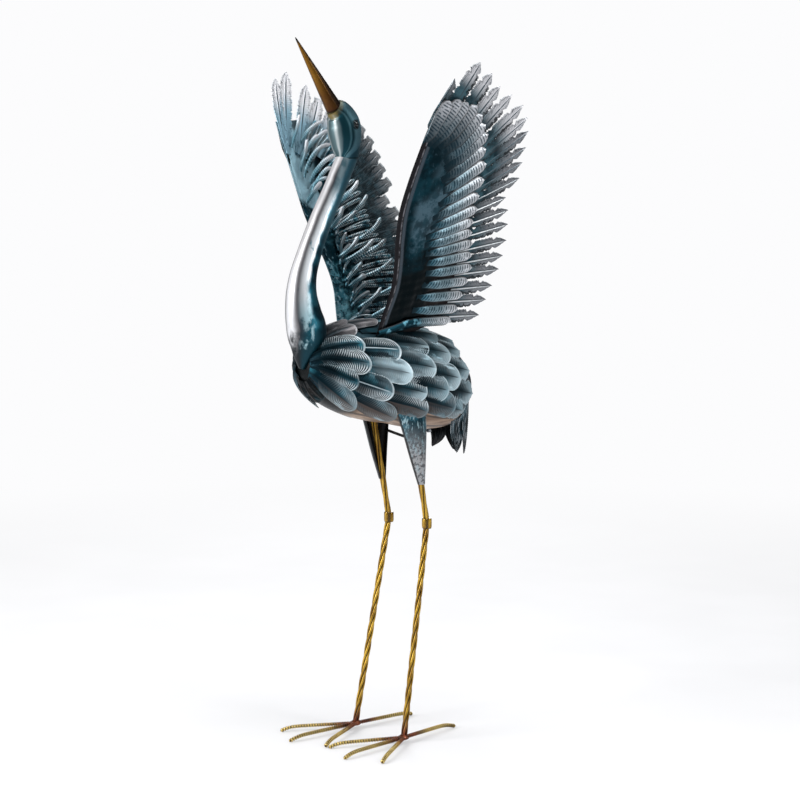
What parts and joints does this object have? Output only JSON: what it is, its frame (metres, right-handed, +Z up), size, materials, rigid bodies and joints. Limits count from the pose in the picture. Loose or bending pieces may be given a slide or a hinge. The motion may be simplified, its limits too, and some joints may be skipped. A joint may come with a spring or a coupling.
{
  "type": "crane garden statue",
  "caption": "Standing crane garden statue of painted sheet iron with raised, fanned wings, an upturned beak, rope-twisted wire legs and splayed wire toes.",
  "frame": {"origin": "on the ground, under the middle of the whole statue's box", "axes": "+Z up, the bird faces -Y, its left side is +X"},
  "size_m": [0.4632, 0.3794, 1.1305],
  "materials": {
    "body_paint": "satin paint, dark teal turning taupe under the belly",
    "feather_teal": "satin metallic teal, edges and barbs rubbed back to silver",
    "dark_teal": "satin dark teal with silver edges",
    "wing_grey": "satin grey tips fading to blue at the roots",
    "neck_silver": "bright brushed silver strips between dark lines, teal at the back",
    "leg_gold": "satin antique gold with dark valleys",
    "foot_copper": "worn copper brown fading to olive gold",
    "beak_gold": "satin gold fading to brown at its root, black at its tip",
    "eye_black": "gloss black enamel bead",
    "screw_grey": "dull zinc grey",
    "rod_black": "matt black"
  },
  "bodies": {
    "root": {"back_feathers_1": "feather_teal", "back_feathers_2": "feather_teal", "back_feathers_3": "feather_teal", "back_feathers_4": "feather_teal", "back_feathers_5": "feather_teal", "beak": "beak_gold", "body_shell": "body_paint", "breast_feathers": "feather_teal", "head": "feather_teal", "left_back_toe": "foot_copper", "left_eye": "eye_black", "left_flank_feathers_1": "feather_teal", "left_flank_feathers_2": "feather_teal", "left_flank_feathers_3": "feather_teal", "left_flank_feathers_4": "feather_teal", "left_flank_feathers_5": "feather_teal", "left_foot_weld": "foot_copper", "left_inner_tail_feather": "dark_teal", "left_inner_toe": "foot_copper", "left_knee_sleeve": "leg_gold", "left_lower_leg": "leg_gold", "left_middle_toe": "foot_copper", "left_outer_tail_feather": "dark_teal", "left_outer_toe": "foot_copper", "left_thigh_screw": "screw_grey", "left_thigh_sleeve": "feather_teal", "left_upper_leg": "leg_gold", "left_wing_coverts": "feather_teal", "left_wing_inner_curls": "dark_teal", "left_wing_plate": "feather_teal", "left_wing_primaries": "wing_grey", "neck": "neck_silver", "right_back_toe": "foot_copper", "right_eye": "eye_black", "right_flank_feathers_1": "feather_teal", "right_flank_feathers_2": "feather_teal", "right_flank_feathers_3": "feather_teal", "right_flank_feathers_4": "feather_teal", "right_flank_feathers_5": "feather_teal", "right_foot_weld": "foot_copper", "right_inner_tail_feather": "dark_teal", "right_inner_toe": "foot_copper", "right_knee_sleeve": "leg_gold", "right_lower_leg": "leg_gold", "right_middle_toe": "foot_copper", "right_outer_tail_feather": "dark_teal", "right_outer_toe": "foot_copper", "right_thigh_screw": "screw_grey", "right_thigh_sleeve": "feather_teal", "right_upper_leg": "leg_gold", "right_wing_coverts": "feather_teal", "right_wing_inner_curls": "dark_teal", "right_wing_plate": "feather_teal", "right_wing_primaries": "wing_grey", "tie_rod": "rod_black"}
  },
  "joints": []
}
